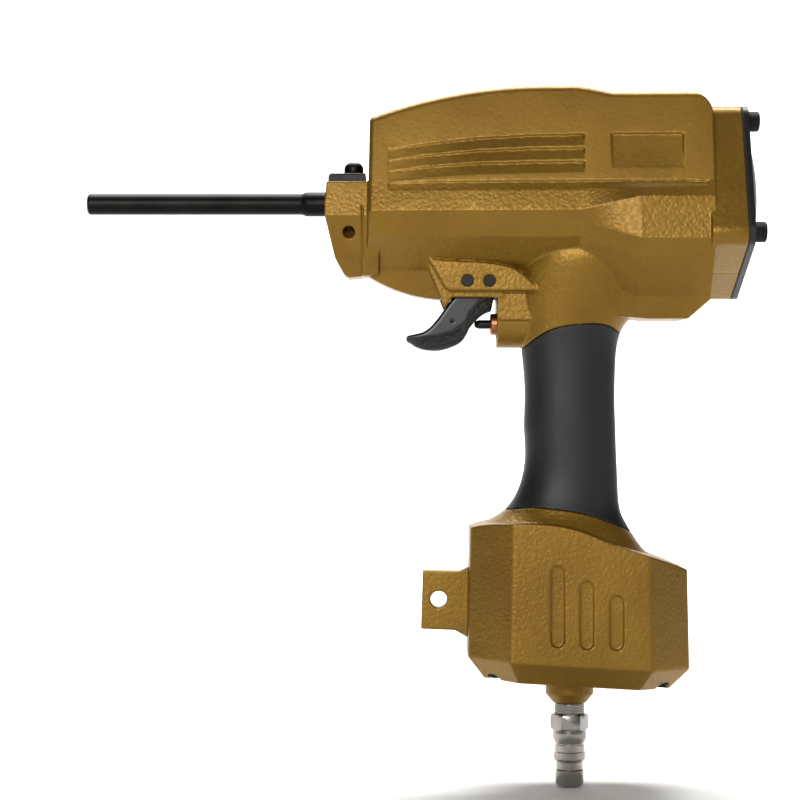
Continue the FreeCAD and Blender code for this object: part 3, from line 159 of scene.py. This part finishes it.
def lathe(name, outline, turn=UPRIGHT, place=(0, 0, 0), sides=72):
    """A turned piece. outline lists (height, radius) in mm from one end to the other, both ends closed."""
    deselect_all()
    height, radius = outline[0]
    bpy.ops.mesh.primitive_circle_add(vertices=sides, radius=radius * MM, fill_type="NGON",
                                      location=(0, 0, height * MM))
    piece = bpy.context.object
    piece.name = name
    bpy.ops.object.transform_apply(location=True, rotation=True, scale=True)
    bpy.ops.object.mode_set(mode="EDIT")
    bpy.ops.mesh.select_all(action="SELECT")
    for next_height, next_radius in outline[1:]:
        rise = (0, 0, (next_height - height) * MM)
        bpy.ops.mesh.extrude_region_move(TRANSFORM_OT_translate={"value": rise})
        share = next_radius / radius
        bpy.ops.transform.resize(value=(share, share, 1), center_override=(0, 0, next_height * MM))
        height, radius = next_height, next_radius
    bpy.ops.mesh.select_all(action="SELECT")
    bpy.ops.mesh.normals_make_consistent(inside=False)
    bpy.ops.object.mode_set(mode="OBJECT")
    settle(piece, turn, place)
    return piece


def prism(name, sides, radius, low, high, turn=UPRIGHT, place=(0, 0, 0), spin=0.0):
    """An upright prism between two heights, to be turned and placed like a lathe piece."""
    deselect_all()
    bpy.ops.mesh.primitive_cylinder_add(vertices=sides, radius=radius * MM, depth=(high - low) * MM,
                                        location=(0, 0, (low + high) / 2 * MM), rotation=(0, 0, spin))
    piece = bpy.context.object
    piece.name = name
    bpy.ops.object.transform_apply(location=True, rotation=True, scale=True)
    settle(piece, turn, place)
    return piece


def combine(piece, tool, operation):
    """Adds, cuts or intersects a tool piece, and removes the tool."""
    apply_modifier(piece, "BOOLEAN", operation=operation, solver="EXACT", object=tool)
    bpy.data.objects.remove(tool, do_unlink=True)


def copied(piece, name, shift):
    """A copy with its own mesh, moved by a shift in mm."""
    twin = bpy.data.objects.new(name, piece.data.copy())
    bpy.context.scene.collection.objects.link(twin)
    settle(twin, UPRIGHT, shift)
    return twin


# ---------------------------------------------------------------- material helpers

def colour(hex_code):
    """An sRGB hex colour as linear red, green, blue and alpha."""
    parts = [int(hex_code[i:i + 2], 16) / 255 for i in (1, 3, 5)]
    linear = [p / 12.92 if p <= 0.04045 else ((p + 0.055) / 1.055) ** 2.4 for p in parts]
    return (*linear, 1.0)


def grey(level):
    return (level, level, level, 1.0)


def per_mm(size):
    """Scale of a pattern with features about size millimetres wide, on Object coordinates."""
    return 1.0 / (size * MM)


def add(tree, kind, links=(), **settings):
    """Adds a node. settings name its properties or its inputs; links pair an input with a source."""
    item = tree.nodes.new(kind)
    for key, setting in settings.items():
        if hasattr(item, key):
            setattr(item, key, setting)
        else:
            item.inputs[key.replace("_", " ").title()].default_value = setting
    for socket, source in links:
        tree.links.new(source, item.inputs[socket])
    return item


def material(name, values=()):
    """A new material: its node tree, its shader with constant values set, and Object coordinates."""
    made = bpy.data.materials.new(name)
    made.use_nodes = True
    tree = made.node_tree
    shader = tree.nodes["Principled BSDF"]
    for socket, setting in values:
        shader.inputs[socket].default_value = setting
    coordinates = add(tree, "ShaderNodeTexCoord").outputs["Object"]
    return made, tree, shader, coordinates


def ramp(tree, source, low, high):
    """A two-stop colour ramp; low and high are (position, colour)."""
    item = add(tree, "ShaderNodeValToRGB", [("Fac", source)])
    for element, (position, tint) in zip(item.color_ramp.elements, (low, high)):
        element.position, element.color = position, tint
    return item.outputs["Color"]


def bumped(tree, shader, source, strength, depth):
    """Relief of a depth in mm on the shader's normal."""
    relief = add(tree, "ShaderNodeBump", [("Height", source)], strength=strength, distance=depth * MM)
    tree.links.new(relief.outputs["Normal"], shader.inputs["Normal"])
    return relief


def finish(piece, made, body):
    """Gives a piece one material and its slot, and lets it ride on its body."""
    piece.data.materials.clear()
    piece.data.materials.append(made)
    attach(piece, body)


# ---------------------------------------------------------------- materials

def gold_enamel():
    """Cast aluminium sprayed with gold hammer enamel. Metal flake floats in the clear binder, so it is
    half metallic, and the skin dries into soft dimples with satin gloss."""
    made, tree, shader, where = material("gold_hammer_enamel", [("Metallic", 0.6), ("Coat Weight", 0.06),
                                                               ("Coat Roughness", 0.3)])
    drift = add(tree, "ShaderNodeTexNoise", [("Vector", where)], scale=per_mm(3.0), detail=2.0)
    bend = add(tree, "ShaderNodeVectorMath", [(0, drift.outputs["Color"])], operation="MULTIPLY_ADD")
    bend.inputs[1].default_value = (1.1 * MM, 1.1 * MM, 1.1 * MM)
    tree.links.new(where, bend.inputs[2])
    cells = add(tree, "ShaderNodeTexVoronoi", [("Vector", bend.outputs["Vector"])], feature="SMOOTH_F1",
                scale=per_mm(1.5), smoothness=0.7)
    swell = add(tree, "ShaderNodeTexNoise", [("Vector", where)], scale=per_mm(1.3), detail=2.0)
    height = add(tree, "ShaderNodeMath", [(0, cells.outputs["Distance"]), (1, swell.outputs["Fac"])],
                 operation="ADD")
    relief = bumped(tree, shader, height.outputs["Value"], 0.3, 0.2)
    # the coat runs smoother on the upper panels than below the ledge and on the chamber
    level = add(tree, "ShaderNodeSeparateXYZ", [("Vector", where)])
    spread = add(tree, "ShaderNodeMapRange", [("Value", level.outputs["Z"])])
    for socket, setting in (("From Min", 2 * MM), ("From Max", 9 * MM), ("To Min", 0.55), ("To Max", 0.15)):
        spread.inputs[socket].default_value = setting
    tree.links.new(spread.outputs["Result"], relief.inputs["Strength"])
    patch = add(tree, "ShaderNodeTexNoise", [("Vector", where)], scale=per_mm(30), detail=2.0)
    tree.links.new(ramp(tree, patch.outputs["Fac"], (0.3, colour("#7C5A13")), (0.7, colour("#886619"))),
                   shader.inputs["Base Color"])
    tree.links.new(ramp(tree, cells.outputs["Distance"], (0.0, grey(0.36)), (0.8, grey(0.5))),
                   shader.inputs["Roughness"])
    return made


def rubber_moulding():
    """Soft black rubber moulded in a spark-eroded tool: dark, dull, with a very fine grain."""
    made, tree, shader, where = material("moulded_rubber", [("IOR", 1.5)])
    grain = add(tree, "ShaderNodeTexNoise", [("Vector", where)], scale=per_mm(0.45), detail=2.0)
    bumped(tree, shader, grain.outputs["Fac"], 0.25, 0.05)
    bloom = add(tree, "ShaderNodeTexNoise", [("Vector", where)], scale=per_mm(20), detail=4.0)
    tree.links.new(ramp(tree, bloom.outputs["Fac"], (0.35, colour("#0D0D0C")), (0.75, colour("#141312"))),
                   shader.inputs["Base Color"])
    tree.links.new(ramp(tree, bloom.outputs["Fac"], (0.3, grey(0.48)), (0.8, grey(0.6))),
                   shader.inputs["Roughness"])
    return made


def bare_metal(name, dark, light, roughness, mark, stretch, depth=0.006):
    """Turned, ground, oxided or plated metal. mark is the width of its tool marks in mm, and stretch
    how much finer they are along each axis."""
    made, tree, shader, where = material(name, [("Metallic", 1.0)])
    turn = add(tree, "ShaderNodeMapping", [("Vector", where)], scale=stretch)
    marks = add(tree, "ShaderNodeTexNoise", [("Vector", turn.outputs["Vector"])], scale=per_mm(mark),
                detail=2.0)
    bumped(tree, shader, marks.outputs["Fac"], 0.3, depth)
    patch = add(tree, "ShaderNodeTexNoise", [("Vector", where)], scale=per_mm(12), detail=2.0)
    tree.links.new(ramp(tree, patch.outputs["Fac"], (0.3, colour(dark)), (0.7, colour(light))),
                   shader.inputs["Base Color"])
    shine = ramp(tree, marks.outputs["Fac"], (0.3, grey(roughness - 0.04)), (0.7, grey(roughness + 0.06)))
    tree.links.new(shine, shader.inputs["Roughness"])
    return made


def lacquer_or_polymer(name, dark, light, roughness, grain, depth):
    """Baked lacquer, seal rubber, gasket board or urethane: one dielectric skin with a slight relief."""
    made, tree, shader, where = material(name, [("Roughness", roughness), ("IOR", 1.5)])
    peel = add(tree, "ShaderNodeTexNoise", [("Vector", where)], scale=per_mm(grain), detail=2.0)
    bumped(tree, shader, peel.outputs["Fac"], 0.35, depth)
    tree.links.new(ramp(tree, peel.outputs["Fac"], (0.35, colour(dark)), (0.7, colour(light))),
                   shader.inputs["Base Color"])
    return made


gold = gold_enamel()
rubber = rubber_moulding()
# black oxide over turned steel, faint rings along the tube
oxide = bare_metal("black_oxide_steel", "#1A1A19", "#222221", 0.42, 0.8, (5, 1, 1))
# oxided heat-treated screws and clamp blocks, even grain
screw_black = bare_metal("black_oxide_screws", "#242322", "#2E2C2B", 0.42, 0.4, (1, 1, 1))
# black lacquer baked on the cast cap, slight orange peel
cap_black = lacquer_or_polymer("cap_lacquer", "#0A0A0A", "#10100F", 0.42, 1.4, 0.05)
# black lacquer on the trigger casting, glossier than the cap
trigger_black = lacquer_or_polymer("trigger_lacquer", "#121212", "#191918", 0.3, 2.0, 0.03)
# nickel plate on the turned air plug, rings across its length
nickel = bare_metal("nickel_plated_steel", "#8E8984", "#A8A39D", 0.2, 0.5, (1, 1, 8))
# ground and hardened steel of the driver and guide
ground_steel = bare_metal("ground_steel", "#8F8E8C", "#A3A2A0", 0.28, 0.5, (1, 6, 6))
# bare turned bronze of the valve bush
bronze = bare_metal("turned_bronze", "#A06A48", "#B67E58", 0.34, 0.4, (6, 1, 1))
# bare turned brass of the valve body
brass = bare_metal("turned_brass", "#A8904E", "#BDA465", 0.3, 0.4, (6, 1, 1))
# machined and hard-coated aluminium of liner, piston and head valve
aluminium = bare_metal("machined_aluminium", "#A0A1A3", "#B5B6B8", 0.32, 0.5, (5, 1, 1))
# moulded nitrile rings
nitrile = lacquer_or_polymer("nitrile_seal", "#141414", "#1D1D1C", 0.6, 0.5, 0.02)
# pressed fibre gasket board
board = lacquer_or_polymer("gasket_board", "#1A1714", "#241F1B", 0.75, 0.6, 0.04)
# cast polyurethane bumper
urethane = lacquer_or_polymer("cast_urethane", "#7A2A18", "#8C3520", 0.5, 2.0, 0.03)

finishes = {
    "housing_paint": gold, "grip_rubber": rubber, "black_steel": screw_black, "cap_black": cap_black,
    "trigger_black": trigger_black, "bright_steel": ground_steel, "copper_bush": bronze, "brass": brass,
    "aluminium": aluminium, "seal_rubber": nitrile, "bumper_urethane": urethane, "gasket_sheet": board,
}
special = {"barrel_tube": oxide, "air_plug": nickel, "nose_set_screws": nickel}
for subpart in frame["record"]["subparts"]:
    node = frame["nodes"][subpart["node"]]
    for slot in node.material_slots:
        slot.material = special.get(subpart["node"], finishes[subpart["material_slot"]])

# ---------------------------------------------------------------- castings and grip

housing = moulded("housing_casting", ["main_housing"], 0.38 * MM, 2, 197000)
finish(housing, gold, "housing")
# the base is painted over together with the chamber, so its joint does not show
chamber = moulded("chamber_casting", ["air_chamber", "chamber_gasket", "chamber_base"], 0.42 * MM, 3, 150000)
finish(chamber, gold, "housing")
grip = moulded("grip_moulding", ["grip_sleeve"], 0.5 * MM, 3, 60000)
finish(grip, rubber, "housing")

# ---------------------------------------------------------------- trigger

# ridge that bounds each flat side of the lever, as (x, z) in mm from its tip to its top
RIDGE = [(136.0, -56.7), (141.1, -56.7), (149.6, -55.9), (153.9, -54.6), (158.1, -52.5), (160.7, -49.9),
         (162.4, -46.1), (165.8, -41.9), (169.6, -39.7), (173.8, -39.3)]
# above this height, in mm, the lever's neck keeps its full width
NECK_OF_LEVER = -40


def past_ridge(spot):
    """How far a place lies behind and below the ridge, in mm; negative in front of it."""
    point = Vector((spot.x, spot.z))
    nearest = 99.0
    for start, end in zip(RIDGE, RIDGE[1:]):
        start, end = Vector(start), Vector(end)
        along = (point - start).dot(end - start) / (end - start).length_squared
        foot = start + (end - start) * min(1.0, max(0.0, along))
        distance = (point - foot).length
        if distance < nearest:
            nearest = distance
            side = (end - start).x * (point - start).y - (end - start).y * (point - start).x
    return nearest if side < 0 else -nearest


def trigger_casting():
    """Cast lever whose flanks thin out behind the ridge towards its rear edge."""
    lever = moulded("trigger_casting", ["trigger_lever"], 0.32 * MM, 1, 60000)
    # each pass starts further behind the ridge, in mm, and leaves a share of the width
    for reach, share in ((0.2, 0.93), (0.9, 0.93), (1.8, 0.92), (2.9, 0.91), (4.2, 0.9), (5.8, 0.88)):
        select_vertices(lever, lambda spot: past_ridge(spot) > reach and spot.z < NECK_OF_LEVER)
        bpy.ops.transform.resize(value=(1, share, 1), center_override=(0, 0, 0))
        bpy.ops.object.mode_set(mode="OBJECT")
    apply_modifier(lever, "SMOOTH", factor=0.5, iterations=2)
    return lever


trigger = trigger_casting()
finish(trigger, trigger_black, "trigger")

# ---------------------------------------------------------------- air plug

plug_x = 204.6
thread_pitch, thread_crest, thread_root = 0.68, 6.6, 6.05
threads = [(-211.6, thread_crest)]
for ridge in range(6):
    top = -211.7 - thread_pitch * ridge
    threads += [(top - 0.17, thread_root), (top - 0.34, thread_root), (top - 0.51, thread_crest),
                (top - 0.68, thread_crest)]
# shoulder under the hexagon, coupling groove, locking collar and tip, ending in the bore's mouth
plug = lathe("air_plug_turned", threads + [
    (-216.0, 6.1), (-216.2, 7.0), (-223.2, 7.0), (-224.0, 7.15), (-226.3, 7.15), (-228.3, 6.3),
    (-228.7, 6.0), (-229.1, 6.0), (-229.3, 6.28), (-232.1, 6.28), (-232.35, 6.75), (-235.2, 6.75),
    (-235.9, 6.2), (-236.6, 5.6), (-239.6, 5.6), (-240.1, 5.98), (-245.6, 5.98), (-246.4, 5.5),
    (-247.05, 4.6), (-247.1, 3.6), (-245.8, 3.5), (-230.0, 3.4)], place=(plug_x, 0, 0), sides=80)
smooth_shading(plug, 35)
finish(plug, nickel, "housing")
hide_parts("air_plug")
nut = prism("air_plug_hexagon", 6, 8.08, -222.9, -216.1, place=(plug_x, 0, 0), spin=math.radians(30))
combine(nut, lathe("nut_chamfer", [(-223.0, 7.1), (-221.9, 8.3), (-217.1, 8.3), (-216.0, 7.1)],
                   place=(plug_x, 0, 0), sides=96), "INTERSECT")
apply_modifier(nut, "BEVEL", width=0.12 * MM, segments=2, limit_method="ANGLE", angle_limit=math.radians(25))
smooth_shading(nut, 30)
finish(nut, nickel, "housing")
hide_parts("air_plug")

# ---------------------------------------------------------------- screws

def cap_screw(name, place):
    """Socket-head cap screw along X: knurled head with a bevelled crown and a hexagon socket."""
    screw = lathe(name, [(-16.5, 2.5), (0, 2.5), (0.01, 3.9), (0.4, 4.18), (4.5, 4.18), (5.0, 3.6)], sides=96)
    knurl = prism("knurl", 96, 4.25, 0.45, 4.35)
    select_vertices(knurl, lambda spot: round(math.degrees(math.atan2(spot.y, spot.x)) / 3.75) % 2 == 0)
    bpy.ops.transform.resize(value=(0.965, 0.965, 1), center_override=(0, 0, 0))
    bpy.ops.object.mode_set(mode="OBJECT")
    combine(screw, knurl, "UNION")
    combine(screw, prism("socket", 6, 2.3, 2.4, 9), "DIFFERENCE")
    settle(screw, ALONG_X, place)
    return screw


# the screws stand a quarter turn apart on one circle
cap_face, off_side, off_top = 277.8, 14.18, 33.41
first_screw = cap_screw("cap_screw_top", (cap_face, -off_side, off_top))
cap_screws = [first_screw,
              copied(first_screw, "cap_screw_side", (0, -off_top + off_side, -off_side - off_top)),
              copied(first_screw, "cap_screw_far", (0, off_top + off_side, off_side - off_top))]
for screw in cap_screws:
    smooth_shading(screw, 30)
    finish(screw, screw_black, "housing")
    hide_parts("cap_bolts")

clamp_x = 113.0
clamp_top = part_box("nose_clamp_screw")[1].z / MM - 5.1
clamp_screw = lathe("nose_clamp_button", [
    (-10, 2.5), (-0.02, 2.5), (0, 3.9), (0.3, 4.1), (2.6, 4.1), (3.5, 3.85), (4.3, 3.3), (4.9, 2.5),
    (5.08, 1.9)], place=(clamp_x, 0, clamp_top))
combine(clamp_screw, prism("button_socket", 6, 1.7, clamp_top + 2.6, clamp_top + 8, place=(clamp_x, 0, 0)),
        "DIFFERENCE")
smooth_shading(clamp_screw, 35)
finish(clamp_screw, screw_black, "housing")
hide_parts("nose_clamp_screw")


# ---------------------------------------------------------------- floor, light and camera

def curved_backdrop():
    """Pale paper floor that sweeps up behind the tool."""
    low = cad_box[0].z - 0.3 * MM
    deselect_all()
    bpy.ops.mesh.primitive_plane_add(size=6.0, location=(0.13, -0.6, low))
    paper = bpy.context.object
    paper.name = "studio_paper"
    bpy.ops.object.transform_apply(location=True, rotation=True, scale=True)
    bpy.ops.object.mode_set(mode="EDIT")
    bpy.ops.mesh.select_all(action="DESELECT")
    bpy.ops.mesh.select_mode(type="EDGE")
    bpy.ops.object.mode_set(mode="OBJECT")
    for edge in paper.data.edges:
        ends = [paper.data.vertices[i].co.y for i in edge.vertices]
        edge.select = min(ends) > 2.0
    bpy.ops.object.mode_set(mode="EDIT")
    bpy.ops.mesh.spin(steps=24, angle=math.radians(-90), center=(0.13, 2.4, low + 1.2), axis=(1, 0, 0))
    bpy.ops.mesh.extrude_region_move(TRANSFORM_OT_translate={"value": (0, 0, 3.0)})
    bpy.ops.object.mode_set(mode="OBJECT")
    smooth_shading(paper, 60)
    matt_paper = material("studio_paper", [("Base Color", colour("#DCDCDA")), ("Roughness", 0.95)])[0]
    paper.data.materials.append(matt_paper)


def soft_box(name, place, aim, size, power):
    lamp = bpy.data.lights.new(name, "AREA")
    lamp.shape, lamp.size, lamp.energy = "SQUARE", size, power
    holder = bpy.data.objects.new(name, lamp)
    bpy.context.scene.collection.objects.link(holder)
    holder.location = place
    holder.rotation_euler = (Vector(aim) - Vector(place)).to_track_quat("-Z", "Y").to_euler()


curved_backdrop()
middle = (0.14, 0.0, -0.08)
soft_box("key_soft_box", (-0.1, -1.35, 0.33), middle, 0.6, 12.5)
soft_box("top_soft_box", (0.35, 0.3, 1.5), middle, 1.0, 7)
soft_box("side_soft_box", (1.3, -0.8, 0.3), middle, 0.7, 2)
soft_box("backdrop_soft_box", (0.14, 0.9, 2.0), (0.14, 3.2, 0.2), 1.6, 240)
world = bpy.data.worlds.new("studio")
bpy.context.scene.world = world
world.use_nodes = True
world.node_tree.nodes["Background"].inputs["Color"].default_value = colour("#F2F3F5")
world.node_tree.nodes["Background"].inputs["Strength"].default_value = 0.05
bpy.context.scene.view_settings.view_transform = "Standard"

camera = bpy.data.objects.new("camera", bpy.data.cameras.new("camera"))
bpy.context.scene.collection.objects.link(camera)
camera.location = (0.1326, -0.95, -0.0831)
camera.rotation_euler = (math.radians(90), 0, 0)
camera.data.lens = 100.6
camera.data.sensor_width = 36
camera.data.clip_start, camera.data.clip_end = 0.05, 20
bpy.context.scene.camera = camera
